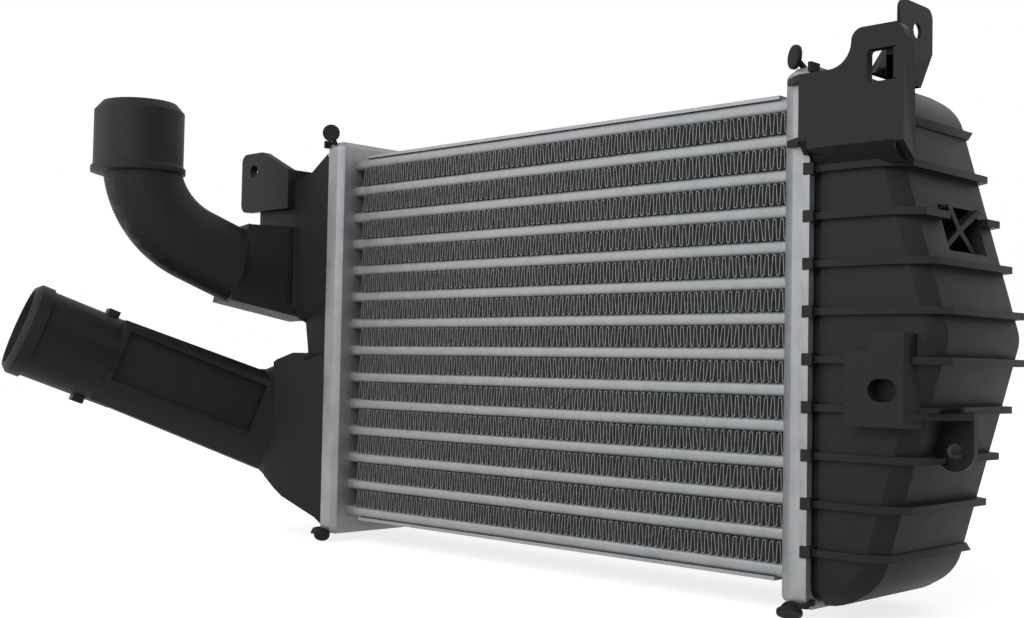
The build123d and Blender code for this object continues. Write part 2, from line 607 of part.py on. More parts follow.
def chamber(front_points, plan_points, facet_points, up, inset):
    """One chamber of the left tank: its front outline cut to its plan, drawn in by the inset.

    The facet is a triangle in front of the waist, and what lies beyond it towards the waist goes.
    """
    first, second, third = (Vector(x, y + inset, z + up * inset) for x, y, z in facet_points)
    with BuildPart() as body:
        with BuildSketch(front(TANK_BACK)):
            with BuildLine():
                Polyline(front_points, close=True)
            make_face()
            if inset:
                offset(amount=-inset, kind=Kind.INTERSECTION)
        extrude(amount=TANK_BACK - CHAMBER_REACH)
        with BuildSketch(level(0)):
            with BuildLine():
                Polyline(plan_points, close=True)
            make_face()
            if inset:
                offset(amount=-inset, kind=Kind.INTERSECTION)
        extrude(amount=up * TANK_HEIGHT / 2, mode=Mode.INTERSECT)
        across = second - first
        with BuildSketch(Plane(origin=first - CORE_ZERO, x_dir=across, z_dir=across.cross(third - first))):
            with BuildLine():
                reach = FACET_REACH * (third - first)
                along_front = across.normalized()
                rise = (across.cross(third - first)).normalized().cross(along_front)
                Polyline((0, 0), (FACET_REACH * across.length, 0), (reach.dot(along_front), reach.dot(rise)),
                         close=True)
            make_face()
        extrude(amount=CHAMBER_CUT, dir=(0, 0, -up), mode=Mode.SUBTRACT)
    return body.part


# Outlines of the left tank's chambers, seen from the front and from above, and their facets
back_wall = [(-236, 15), (-226, 42), (-206, 61), (-180, TANK_BACK), (-BODY_START, TANK_BACK)]
upper_front = [
    (-BODY_START, 0), (-BODY_START, TANK_HEIGHT / 2), (SHOULDER_X, SHOULDER_Z), (-240, 80),
    (-240, UPPER_FLOOR), (-205, UPPER_FLOOR), (WAIST_X, WAIST_HALF), (WAIST_X + 3, 0),
]
lower_front = [
    (-BODY_START, 0), (-BODY_START, -TANK_HEIGHT / 2), (-166, -104), (-187, -93), (-201, -81), (-219, -75),
    (-246, -75), (-246, LOWER_ROOF), (-203, LOWER_ROOF), (WAIST_X, -WAIST_HALF), (WAIST_X + 3, 0),
]
upper_plan = [(-BODY_START, TANK_FRONT), (-186, -13), (-221, -13), (-226, -9)] + back_wall
lower_plan = [(-BODY_START, TANK_FRONT), (-192, -19), (-200, -20.5), (-222, -16), (-236, -8),
              (-243, 3)] + back_wall
upper_facet = [(-BODY_START, TANK_FRONT, UPPER_FLOOR), (-186, -13, UPPER_FLOOR),
               (WAIST_X, TANK_FRONT, WAIST_HALF)]
lower_facet = [(-RIM + 1, TANK_FRONT, -WAIST_HALF - 1), (-196, -20, LOWER_ROOF - 1),
               (WAIST_X, TANK_FRONT, -WAIST_HALF)]
chambers = [(upper_front, upper_plan, upper_facet, 1), (lower_front, lower_plan, lower_facet, -1)]
port = along(PORT_X, PORT_Y, PORT_Z, PORT_AZIMUTH, PORT_ELEVATION)
mouth = along(PIPE_X, PIPE_Y, PIPE_Z, PORT_AZIMUTH, PIPE_ELEVATION)
mouth_section = Plane(origin=mouth.origin, x_dir=mouth.x_dir, z_dir=-mouth.y_dir)

# The upper port's block, drawn on the flank that faces the core: depth across, height up
inward = (sin(radians(PORT_AZIMUTH)), cos(radians(PORT_AZIMUTH)), 0)
flank = Plane(origin=port.origin + port.x_dir * (PORT_WIDTH / 2 - PORT_OFFSET), x_dir=inward,
              z_dir=port.x_dir)
port_low = PORT_BOTTOM - PORT_Z
port_high = PORT_TOP - PORT_Z
port_lean = tan(radians(PORT_ELEVATION))
port_middle = (port_low + port_high) / 2
with BuildPart() as port_block:
    with BuildSketch(flank):
        with BuildLine():
            Polyline((port_low * port_lean, port_low), (PORT_DEPTH, WAIST_HALF + PORT_WEB_LIFT - PORT_Z),
                     (PORT_DEPTH, port_high), (port_high * port_lean, port_high), close=True)
        make_face()
    extrude(amount=-PORT_WIDTH)
    with BuildSketch(flank):
        with Locations((PORT_FACE + PORT_GROOVE_WIDTH / 2, port_middle)):
            Rectangle(PORT_GROOVE_WIDTH, port_high - port_low + 2)
    extrude(amount=-PORT_GROOVE_DEPTH, mode=Mode.SUBTRACT)
    # Round collar that runs out into the block's flank
    with BuildSketch(along(PORT_X, PORT_Y, PORT_Z + port_middle, PORT_AZIMUTH - PORT_COLLAR_TURN, 0)):
        Circle(ELBOW_RADIUS)
    extrude(amount=PORT_COLLAR, both=True)
    split(bisect_by=port, keep=Keep.BOTTOM)

with BuildPart() as left_tank:
    for outline in chambers:
        add(chamber(*outline, 0))
    # Foot under the rim, and the neck through it
    with BuildSketch(side(-FOOT_START)):
        with Locations((MID_Y, 0)):
            RectangleRounded(FOOT_DEPTH, FOOT_HEIGHT, FOOT_CORNER)
    extrude(amount=FOOT_START - FOOT_END)
    with BuildSketch(side(-FOOT_END)):
        with Locations((MID_Y, 0)):
            RectangleRounded(NECK_DEPTH, NECK_HEIGHT, NECK_CORNER)
    extrude(amount=FOOT_END - BODY_START - 1)
    add(port_block.part)
    # Tab with its two returns
    with BuildSketch(front(TAB_FRONT + TAB_THICKNESS)) as tab_plate:
        with BuildLine():
            Polyline((TAB_LEFT, TAB_BOTTOM), (TAB_RIGHT, TAB_BOTTOM), (TAB_RIGHT, TAB_SHOULDER_Z),
                     (TAB_SHOULDER_X, TAB_TOP), (TAB_LEFT, TAB_TOP), close=True)
        make_face()
        fillet(tab_plate.vertices().group_by(Axis.X)[0], radius=TAB_CORNER)
        shoulder = tab_plate.vertices().filter_by(lambda v: abs(v.X - TAB_SHOULDER_X) < 0.1)
        fillet(shoulder, radius=TAB_CORNER)
    extrude(amount=TAB_THICKNESS)
    with BuildSketch(side(TAB_RIGHT)):
        with BuildLine():
            Polyline((TAB_FRONT, TAB_BOTTOM), (TAB_FRONT, TAB_SHOULDER_Z), (0, TAB_SHOULDER_Z),
                     (0, TAB_BOTTOM), close=True)
        make_face()
    extrude(amount=-TAB_THICKNESS)
    with BuildSketch(level(TAB_BOTTOM)):
        with BuildLine():
            Polyline((TAB_RETURN_FRONT, TAB_FRONT), (TAB_RIGHT, TAB_FRONT), (TAB_RIGHT, 0),
                     (TAB_RETURN_BACK, 0), close=True)
        make_face()
    extrude(amount=TAB_THICKNESS)
    # Lower pipe, round at the hose and squared from there to the chamber
    for depth, width, height in ((PIPE_BODY_START, PIPE_BODY_WIDTH, PIPE_BODY_WIDTH),
                                 (PIPE_BODY_END, PIPE_ROOT_WIDTH, PIPE_ROOT_HEIGHT)):
        with BuildSketch(mouth.offset(-depth)):
            with BuildLine():
                Polyline((-width / 2, PIPE_BODY_CORNER - height / 2), (PIPE_BODY_CORNER - width / 2, -height / 2),
                         (width / 2 - PIPE_BODY_CORNER, -height / 2), (width / 2, PIPE_BODY_CORNER - height / 2),
                         (width / 2, height / 2 - PIPE_TOP_CORNER), (width / 2 - PIPE_TOP_CORNER, height / 2),
                         (PIPE_TOP_CORNER - width / 2, height / 2), (-width / 2, height / 2 - PIPE_TOP_CORNER),
                         close=True)
            make_face()
    loft()
    with BuildSketch(mouth_section):
        with BuildLine():
            Polyline((0, 0), (BEAD_RADIUS - BEAD_CHAMFER, 0), (BEAD_RADIUS, -BEAD_CHAMFER),
                     (BEAD_RADIUS, -BEAD_LENGTH), (SPIGOT_RADIUS, -BEAD_LENGTH - BEAD_SLOPE),
                     (SPIGOT_RADIUS, -PIPE_ROUND_END), (0, -PIPE_ROUND_END), close=True)
        make_face()
    revolve(axis=Axis(mouth.origin, mouth.z_dir))
    with BuildSketch(mouth.offset(-PIPE_STOP)):
        Rectangle(PIPE_STOP_WIDTH, 2 * PIPE_STOP_RADIUS)
    extrude(amount=-PIPE_STOP_LENGTH)
    with BuildSketch(mouth.offset(-PANEL_START)):
        with Locations((PIPE_BODY_WIDTH / 2, (PANEL_TOP + PANEL_BOTTOM) / 2)):
            Rectangle(2 * PANEL_DEPTH, PANEL_TOP - PANEL_BOTTOM)
    extrude(amount=-PANEL_LENGTH, mode=Mode.SUBTRACT)
    # Hollow inside, in two halves with a wall between them
    for outline in chambers:
        add(chamber(*outline, TANK_WALL), mode=Mode.SUBTRACT)
    throat = TANK_HEIGHT / 2 - FOOT_CORNER / 2 - TANK_WALL / 2
    for up in (-1, 1):
        with BuildSketch(side(-FOOT_START)):
            with Locations((MID_Y, up * throat / 2)):
                RectangleRounded(TANK_DEPTH - 2 * TANK_WALL, throat - TANK_WALL, TANK_WALL)
        extrude(amount=FOOT_START - BODY_START - TANK_WALL - 2, mode=Mode.SUBTRACT)
    with BuildSketch(flank.offset(-PORT_WALL)):
        with Locations(((PORT_DEPTH + TANK_WALL) / 2, port_middle)):
            Rectangle(PORT_DEPTH + 2 * PORT_DEPTH / 3, port_high - port_low - 2 * PORT_WALL)
    extrude(amount=2 * PORT_WALL - PORT_WIDTH, mode=Mode.SUBTRACT)
    # Corners cut away to clear the gasket's pull cords
    with BuildSketch(side(-BODY_START)):
        for up in (-1, 1):
            with BuildLine():
                corner_z = up * TANK_HEIGHT / 2
                Polyline((TANK_FRONT - 1, corner_z + up), (TANK_FRONT + CORNER_ROOM, corner_z + up),
                         (TANK_FRONT - 1, corner_z - up * (CORNER_ROOM + 1)), close=True)
            make_face()
    extrude(amount=-CORNER_ROOM, mode=Mode.SUBTRACT)
    with BuildSketch(mouth):
        Circle(SPIGOT_RADIUS - SPIGOT_WALL)
    extrude(amount=-PIPE_STOP, mode=Mode.SUBTRACT)
    with BuildSketch(mouth):
        Circle(PIPE_BORE)
    extrude(amount=-PIPE_BODY_END, mode=Mode.SUBTRACT)
    with BuildSketch(front(TAB_FRONT)):
        with Locations((TAB_HOLE_X, TAB_HOLE_Z)):
            Circle(TAB_HOLE_RADIUS)
    extrude(amount=-TAB_THICKNESS, mode=Mode.SUBTRACT)
left_tank.part.label = "left_tank"
export_step(left_tank.part, "parts/left_tank.step")

# Elbow welded on the upper port: spigot, bead, tapering bend and flange
az = radians(PORT_AZIMUTH)
spigot_foot = Vector(ELBOW_X, ELBOW_Y, ELBOW_BEAD_Z) - CORE_ZERO
elbow_section = Plane(origin=spigot_foot, x_dir=(sin(az), cos(az), 0), z_dir=(cos(az), -sin(az), 0))
bend_section = Plane(origin=spigot_foot + Vector(ELBOW_SHIFT, 0, 0), x_dir=elbow_section.x_dir,
                     z_dir=elbow_section.z_dir)


def bend(radius):
    """Bend and run of the elbow, from inside the spigot to past the port, of one round section."""
    turn = radians(ELBOW_TURN)
    inwards = bend_section.x_dir
    upwards = bend_section.y_dir
    centre = bend_section.origin + inwards * ELBOW_BEND + upwards * ELBOW_BEND_START
    finish = centre - inwards * ELBOW_BEND * cos(turn) - upwards * ELBOW_BEND * sin(turn)
    with BuildPart() as tube_bend:
        with BuildSketch(Plane(origin=centre - inwards * ELBOW_BEND, z_dir=(0, 0, 1))):
            RegularPolygon(radius, BEND_SIDES)
        revolve(axis=Axis(centre, bend_section.z_dir), revolution_arc=ELBOW_TURN)
        with BuildSketch(Plane(origin=finish, z_dir=inwards * sin(turn) - upwards * cos(turn))):
            RegularPolygon(radius, BEND_SIDES)
        extrude(amount=ELBOW_RUN)
    return tube_bend.part


with BuildPart() as elbow:
    add(bend(ELBOW_RADIUS))
    split(bisect_by=port, keep=Keep.TOP)
    # Flange over the block's end
    with BuildSketch(port):
        flange_low = port_low / cos(radians(PORT_ELEVATION))
        flange_high = port_high / cos(radians(PORT_ELEVATION))
        with Locations((-PORT_OFFSET, (flange_low + flange_high) / 2)):
            Rectangle(PORT_WIDTH, flange_high - flange_low)
    extrude(amount=FLANGE_THICKNESS)
    with BuildSketch(elbow_section):
        with BuildLine():
            Polyline((0, -BEAD_FLARE), (ELBOW_RADIUS, -BEAD_FLARE), (BEAD_RADIUS, -BEAD_HALF),
                     (BEAD_RADIUS, BEAD_HALF), (SPIGOT_RADIUS, BEAD_FLARE),
                     (SPIGOT_RADIUS, ELBOW_RISE - SPIGOT_CHAMFER),
                     (SPIGOT_RADIUS - SPIGOT_CHAMFER_IN, ELBOW_RISE), (0, ELBOW_RISE), close=True)
        make_face()
    revolve(axis=Axis(spigot_foot, (0, 0, 1)))
    add(bend(ELBOW_RADIUS - TANK_WALL), mode=Mode.SUBTRACT)
    with BuildSketch(Plane(origin=spigot_foot, z_dir=(0, 0, 1))):
        Circle(SPIGOT_RADIUS - SPIGOT_CHAMFER_IN - ELBOW_RIM)
    extrude(amount=ELBOW_RISE, mode=Mode.SUBTRACT)
elbow.part.label = "inlet_elbow"
export_step(elbow.part, "parts/inlet_elbow.step")
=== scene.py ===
import json
import math
import bpy
import bmesh
from mathutils import Matrix, Vector

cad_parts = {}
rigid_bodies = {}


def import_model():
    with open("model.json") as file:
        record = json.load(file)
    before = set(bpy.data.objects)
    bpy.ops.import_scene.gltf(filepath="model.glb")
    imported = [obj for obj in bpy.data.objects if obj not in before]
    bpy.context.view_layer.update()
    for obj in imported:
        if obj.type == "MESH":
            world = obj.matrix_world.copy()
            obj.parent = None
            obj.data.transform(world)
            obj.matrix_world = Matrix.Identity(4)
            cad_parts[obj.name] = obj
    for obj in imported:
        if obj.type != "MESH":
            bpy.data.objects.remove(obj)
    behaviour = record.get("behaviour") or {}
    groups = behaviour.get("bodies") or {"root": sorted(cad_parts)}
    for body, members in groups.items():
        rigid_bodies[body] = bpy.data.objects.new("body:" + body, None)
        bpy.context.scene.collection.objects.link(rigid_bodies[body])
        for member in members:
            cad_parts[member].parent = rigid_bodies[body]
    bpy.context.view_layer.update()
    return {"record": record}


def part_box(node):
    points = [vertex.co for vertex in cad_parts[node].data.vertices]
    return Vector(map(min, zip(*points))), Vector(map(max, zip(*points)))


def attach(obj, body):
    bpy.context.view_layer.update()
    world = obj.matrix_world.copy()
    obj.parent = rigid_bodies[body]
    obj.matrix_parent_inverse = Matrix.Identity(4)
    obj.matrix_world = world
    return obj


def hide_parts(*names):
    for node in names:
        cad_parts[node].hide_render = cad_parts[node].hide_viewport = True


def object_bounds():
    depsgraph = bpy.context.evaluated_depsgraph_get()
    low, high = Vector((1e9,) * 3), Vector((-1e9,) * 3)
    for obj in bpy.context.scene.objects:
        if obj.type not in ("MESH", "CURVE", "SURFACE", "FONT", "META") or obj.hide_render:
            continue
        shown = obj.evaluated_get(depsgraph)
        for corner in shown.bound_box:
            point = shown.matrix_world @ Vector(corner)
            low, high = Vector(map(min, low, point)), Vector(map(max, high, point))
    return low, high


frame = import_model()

MM = 0.001

# Where the core's own zero lies in the part's frame, in metres. The core's zero is the middle of the
# tubes in X and Z, and the tubes' front face in Y. Places below are in millimetres from it.
tube_low, tube_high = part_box("tube_01")
last_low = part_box("tube_14")[0]
CORE_X = (tube_low[0] + tube_high[0]) / 2
CORE_Y = tube_low[1]
CORE_Z = (tube_high[2] + last_low[2]) / 2


def core(x, y, z):
    """A point of the part's frame in metres, from the core's zero in millimetres."""
    return Vector((CORE_X + x * MM, CORE_Y + y * MM, CORE_Z + z * MM))


def in_core(point):
    """A mesh point in millimetres from the core's zero."""
    return (point - core(0, 0, 0)) / MM


# Materials


def linear(code):
    """Linear colour from an sRGB hex value."""
    channels = [int(code[i:i + 2], 16) / 255 for i in (0, 2, 4)]
    return [c / 12.92 if c <= 0.04045 else ((c + 0.055) / 1.055) ** 2.4 for c in channels] + [1.0]


def connect(node, links):
    """Link outputs to a node's inputs, each given by its name or number."""
    for key, source in links.items():
        node.id_data.links.new(source, node.inputs[key])


def add_node(tree, kind, settings=None, links=None):
    """Add a node with its settings and links."""
    node = tree.nodes.new(kind)
    for key, value in (settings or {}).items():
        if isinstance(key, int) or key in node.inputs:
            node.inputs[key].default_value = value
        else:
            setattr(node, key, value)
    connect(node, links or {})
    return node


def new_material(name):
    """A material with its node tree and its shader."""
    material = bpy.data.materials.new(name)
    material.use_nodes = True
    tree = material.node_tree
    return material, tree, tree.nodes["Principled BSDF"]


# Where the noise turns from the dark colour to the light one, and the depth of the fine relief
SPOTS_DARK, SPOTS_LIGHT = 0.3, 0.7
RELIEF_DEPTH = 0.1 * MM


def mottled(name, light, dark, metallic, roughness, spread, spot_mm, relief, grain_mm, specular=0.5):
    """A surface whose colour and roughness drift in soft spots, with a fine relief."""
    material, tree, shader = new_material(name)
    place = add_node(tree, "ShaderNodeTexCoord")
    spots = add_node(tree, "ShaderNodeTexNoise",
                     {"Scale": 1 / (spot_mm * MM), "Detail": 4.0, "Roughness": 0.6},
                     {"Vector": place.outputs["Object"]})
    tint = add_node(tree, "ShaderNodeValToRGB", links={"Fac": spots.outputs["Fac"]})
    for stop, position, colour in zip(tint.color_ramp.elements, (SPOTS_DARK, SPOTS_LIGHT), (dark, light)):
        stop.position = position
        stop.color = linear(colour)
    gloss = add_node(tree, "ShaderNodeMapRange",
                     {"To Min": roughness - spread, "To Max": roughness + spread},
                     {"Value": spots.outputs["Fac"]})
    grain = add_node(tree, "ShaderNodeTexNoise", {"Scale": 1 / (grain_mm * MM), "Detail": 2.0},
                     {"Vector": place.outputs["Object"]})
    bump = add_node(tree, "ShaderNodeBump", {"Strength": relief, "Distance": RELIEF_DEPTH},
                    {"Height": grain.outputs["Fac"]})
    shader.inputs["Metallic"].default_value = metallic
    shader.inputs["Specular IOR Level"].default_value = specular
    connect(shader, {"Base Color": tint.outputs["Color"], "Roughness": gloss.outputs["Result"],
                     "Normal": bump.outputs["Normal"]})
    return material


# Extruded aluminium, greyed in the brazing furnace: an even satin grey with faint stains a few
# millimetres wide. The grain of extrusion is too fine to show and is drawn 0.9 mm wide.
tube_metal = mottled("brazed_aluminium_tube", "8B8D8F", "7D7F81", metallic=0.6, roughness=0.5,
                     spread=0.1, spot_mm=7.0, relief=0.2, grain_mm=0.9)

# Rolled aluminium foil, folded and brazed: duller than the tubes, and a darker grey that is painted shade
# for the flanks sitting between the tubes
fin_metal = mottled("brazed_aluminium_fin", "828484", "626464", metallic=0.5, roughness=0.5,
                    spread=0.1, spot_mm=4.0, relief=0.2, grain_mm=0.6)

# Pressed aluminium sheet: a smooth satin grey with wide, slow clouds from the furnace
sheet_metal = mottled("pressed_aluminium_sheet", "909294", "808284", metallic=0.6, roughness=0.5,
                      spread=0.1, spot_mm=12.0, relief=0.2, grain_mm=1.2)

# Glass-filled nylon, injection moulded: near black and dull, with a dry bloom. The glass fibres are
# too fine to show and are drawn as a grain 0.9 mm wide.
black_nylon = mottled("glass_filled_nylon", "141415", "0D0D0E", metallic=0.0, roughness=0.57,
                      spread=0.06, spot_mm=9.0, relief=0.35, grain_mm=0.9, specular=0.2)

# Moulded rubber: black, smooth and quite matt
rubber = mottled("moulded_rubber", "141415", "0F0F10", metallic=0.0, roughness=0.7,
                 spread=0.05, spot_mm=3.0, relief=0.2, grain_mm=0.5, specular=0.2)

# The spigot above the elbow's bead is turned: height at which its rings start, their pitch, and
# their relief. The real cut is too fine to show, so the rings are drawn 1.5 mm apart.
TURNED_FROM_Z = 97.0
TURNED_RING = 1.5
TURNED_STRENGTH = 0.5
TURNED_DEPTH = 0.07 * MM


def turned(name):
    """The moulding's nylon with fine turned rings round the upright spigot."""
    material = black_nylon.copy()
    material.name = name
    tree = material.node_tree
    shader = tree.nodes["Principled BSDF"]
    grain = shader.inputs["Normal"].links[0].from_socket
    place = add_node(tree, "ShaderNodeTexCoord")
    axes = add_node(tree, "ShaderNodeSeparateXYZ", links={"Vector": place.outputs["Object"]})
    phase = add_node(tree, "ShaderNodeMath",
                     {"operation": "MULTIPLY", 1: 2 * math.pi / (TURNED_RING * MM)},
                     {0: axes.outputs["Z"]})
    ring = add_node(tree, "ShaderNodeMath", {"operation": "SINE"}, {0: phase.outputs[0]})
    above = add_node(tree, "ShaderNodeMath",
                     {"operation": "GREATER_THAN", 1: CORE_Z + TURNED_FROM_Z * MM},
                     {0: axes.outputs["Z"]})
    height = add_node(tree, "ShaderNodeMath", {"operation": "MULTIPLY"},
                      {0: ring.outputs[0], 1: above.outputs[0]})
    bump = add_node(tree, "ShaderNodeBump", {"Strength": TURNED_STRENGTH, "Distance": TURNED_DEPTH},
                    {"Height": height.outputs[0], "Normal": grain})
    connect(shader, {"Normal": bump.outputs["Normal"]})
    return material


turned_nylon = turned("turned_nylon")

SLOT_MATERIALS = {
    "tube_aluminium": tube_metal,
    "fin_aluminium": fin_metal,
    "sheet_aluminium": sheet_metal,
    "tank_nylon": black_nylon,
    "gasket_rubber": rubber,
}


def dress_nodes():
    """Give every node of the frame the finish of its slot."""
    for entry in frame["record"]["subparts"]:
        piece = bpy.data.objects[entry["node"]]
        piece.data.materials.clear()
        piece.data.materials.append(SLOT_MATERIALS[entry["material_slot"]])


dress_nodes()

# Steps that several pieces share

# Edges sharper than the seam angle are rounded over, edges flatter than the smooth angle are shaded
# as one surface, and triangles flatter than the flat angle are joined
SEAM_ANGLE = math.radians(35)
SMOOTH_ANGLE = math.radians(18)
FLAT_ANGLE = math.radians(1)
SAME_POINT = 0.01 * MM
ROUNDING_STEPS = 2


def deselect():
    """Leave edit mode and select nothing."""
    if bpy.context.object and bpy.context.object.mode != "OBJECT":
        bpy.ops.object.mode_set(mode="OBJECT")
    bpy.ops.object.select_all(action="DESELECT")


def pick(piece):
    """Make one piece the selected and active one."""
    deselect()
    piece.select_set(True)
    bpy.context.view_layer.objects.active = piece


def apply_modifiers(piece):
    """Apply all modifiers of a piece, in their order."""
    pick(piece)
    for modifier in list(piece.modifiers):
        bpy.ops.object.modifier_apply(modifier=modifier.name)


def settle(piece):
    """Bring the piece's object to the origin, with its place in its mesh."""
    pick(piece)
    bpy.ops.object.transform_apply(location=True, rotation=True, scale=True)


def copy_of(piece, name):
    """A copy of a piece with its own mesh."""
    copy = piece.copy()
    copy.data = piece.data.copy()
    copy.name = name
    bpy.context.collection.objects.link(copy)
    return copy


def merged_copy(node, name):
    """A copy of a node's mesh with its loose triangles joined into faces."""
    piece = bpy.data.objects.new(name, bpy.data.objects[node].data.copy())
    bpy.context.collection.objects.link(piece)
    pick(piece)
    bpy.ops.object.mode_set(mode="EDIT")
    bpy.ops.mesh.select_all(action="SELECT")
    bpy.ops.mesh.remove_doubles(threshold=SAME_POINT)
    bpy.ops.mesh.dissolve_limited(angle_limit=FLAT_ANGLE)
    bpy.ops.object.mode_set(mode="OBJECT")
    return piece


def round_edges(piece, edge_mm):
    """Round the sharp edges over and shade the rest smoothly."""
    rounding = piece.modifiers.new("rounding", "BEVEL")
    rounding.width = edge_mm * MM
    rounding.segments = ROUNDING_STEPS
    rounding.limit_method = "ANGLE"
    rounding.angle_limit = SEAM_ANGLE
    apply_modifiers(piece)
    bpy.ops.object.shade_smooth_by_angle(angle=SMOOTH_ANGLE)


def bevel_edges(piece, wanted, radius_mm, steps):
    """Round the edges that the test picks, given as two points in the core's millimetres."""
    pick(piece)
    bpy.ops.object.mode_set(mode="EDIT")
    bpy.ops.mesh.select_mode(type="EDGE")
    bpy.ops.mesh.select_all(action="DESELECT")
    mesh = bmesh.from_edit_mesh(piece.data)
    for edge in mesh.edges:
        if wanted(*(in_core(v.co) for v in edge.verts)):
            edge.select = True
    bmesh.update_edit_mesh(piece.data)
    bpy.ops.mesh.bevel(offset=radius_mm * MM, segments=steps)
    bpy.ops.object.mode_set(mode="OBJECT")


def join(parts):
    """Join the parts into the first of them."""
    deselect()
    for part in parts:
        part.select_set(True)
    bpy.context.view_layer.objects.active = parts[0]
    bpy.ops.object.join()


def finish_piece(piece, material, node):
    """Give a piece its finish, put it under its body and hide the node that it stands for."""
    piece.data.materials.clear()
    piece.data.materials.append(material)
    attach(piece, "root")
    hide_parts(node)


# Fins: folded foil, with the pitch of its folds, its gauge, how far each leg leans in from the
# middle, and the gaps to the right and left header, in millimetres
FIN_ROWS = 13
FIN_FOLD_PITCH = 3.7
FIN_GAUGE = 0.3
FIN_LEG_LEAN = 0.22
FIN_BEND_STEPS = 4
FIN_FROM_RIGHT = 3.0
FIN_FROM_LEFT = 8.0
FOLD_JOIN = 0.02 * MM

# How unevenly the folds stand: each wave's length, its shift from row to row and its share, then the
# lean at the fold's ends, the drift along the row, and the stretch over which both fade out
LEAN_WAVES = ((9.1, 1.7, 1.0), (3.3, 2.9, 0.6))
DRIFT_WAVE = 23.0
LEAN_MM = 0.55
DRIFT_MM = 0.25
FADE_MM = 8.0


def fold_profile(height):
    """Path of one fold of the fin, from the middle of a trough to the next, in millimetres."""
    half = FIN_FOLD_PITCH / 2
    drop = height / 2 - FIN_GAUGE / 2
    radius = half / 2 - FIN_LEG_LEAN
    bend = []
    for step in range(FIN_BEND_STEPS + 1):
        turn = math.pi / 2 * step / FIN_BEND_STEPS
        bend.append((radius * math.sin(turn), -drop + radius * (1 - math.cos(turn))))
    rise = bend + [(half - u, -v) for u, v in reversed(bend)]
    fall = [(2 * half - u, v) for u, v in reversed(rise[:-1])]
    return rise + fall


def fin_row():
    """One row of folded fin at the first fin's place, folded from a narrow strip."""
    low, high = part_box("fin_01")
    end_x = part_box("right_header")[0][0] - FIN_FROM_RIGHT * MM
    room = end_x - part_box("left_header")[1][0] - FIN_FROM_LEFT * MM
    folds = int(room / (FIN_FOLD_PITCH * MM))
    start_x = end_x - folds * FIN_FOLD_PITCH * MM
    path = fold_profile((high[2] - low[2]) / MM)
    start_z = (low[2] + high[2]) / 2 + path[0][1] * MM
    deselect()
    bpy.ops.mesh.primitive_plane_add(size=1, location=(0, 0, 0))
    row = bpy.context.object
    row.name = "fin_row_01"
    bpy.ops.object.mode_set(mode="EDIT")
    mesh = bmesh.from_edit_mesh(row.data)
    # Only the plane's left edge stays. It goes to the first trough and is drawn out along the fold.
    bmesh.ops.delete(mesh, geom=[v for v in mesh.verts if v.co.x > 0], context="VERTS")
    for vertex in mesh.verts:
        vertex.co = (start_x, high[1] if vertex.co.y > 0 else low[1], start_z)
        vertex.select = True
    mesh.select_flush(True)
    bmesh.update_edit_mesh(row.data)
    bpy.ops.mesh.select_mode(type="EDGE")
    bpy.ops.mesh.select_all(action="SELECT")
    for (u0, v0), (u1, v1) in zip(path, path[1:]):
        step = ((u1 - u0) * MM, 0, (v1 - v0) * MM)
        bpy.ops.mesh.extrude_region_move(TRANSFORM_OT_translate={"value": step})
    bpy.ops.object.mode_set(mode="OBJECT")
    repeat = row.modifiers.new("folds", "ARRAY")
    repeat.count = folds
    repeat.use_relative_offset = False
    repeat.use_constant_offset = True
    repeat.constant_offset_displace = (FIN_FOLD_PITCH * MM, 0, 0)
    repeat.use_merge_vertices = True
    repeat.merge_threshold = FOLD_JOIN
    apply_modifiers(row)
    return row


def uneven(row, number):
    """Let the folds stand a little unevenly, as they do when a long strip is pressed together."""
    low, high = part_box("fin_01")
    middle = (low[2] + high[2]) / 2
    length = (high[0] - low[0]) / MM
    for vertex in row.data.vertices:
        x = (vertex.co.x - low[0]) / MM
        side = (vertex.co.z - middle) / (high[2] - low[2])
        lean = sum(share * math.sin(x / wave + number * shift) for wave, shift, share in LEAN_WAVES)
        drift = math.sin(x / DRIFT_WAVE + number)
        fade = max(0.0, min(1.0, x / FADE_MM, (length - x) / FADE_MM))
        vertex.co.x += (lean * side * LEAN_MM + drift * DRIFT_MM) * fade * MM


def make_fins():
    """Thirteen rows of fin, each a copy with its own unevenness and its gauge."""
    first = fin_row()
    rows = [first] + [copy_of(first, f"fin_row_{number:02d}") for number in range(2, FIN_ROWS + 1)]
    for number, row in enumerate(rows, start=1):
        uneven(row, number)
        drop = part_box(f"fin_{number:02d}")[0][2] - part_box("fin_01")[0][2]
        for vertex in row.data.vertices:
            vertex.co.z += drop
        gauge = row.modifiers.new("gauge", "SOLIDIFY")
        gauge.thickness = FIN_GAUGE * MM
        gauge.offset = 0.0
        apply_modifiers(row)
        finish_piece(row, fin_metal, f"fin_{number:02d}")


# Tubes: flat aluminium tubes with rounded noses. A face whose normal is this much along X is an end.
TUBES = 14
TUBE_NOSE_RADIUS = 1.9
TUBE_NOSE_STEPS = 4
TUBE_WALL = 0.5
END_FACING = 0.9


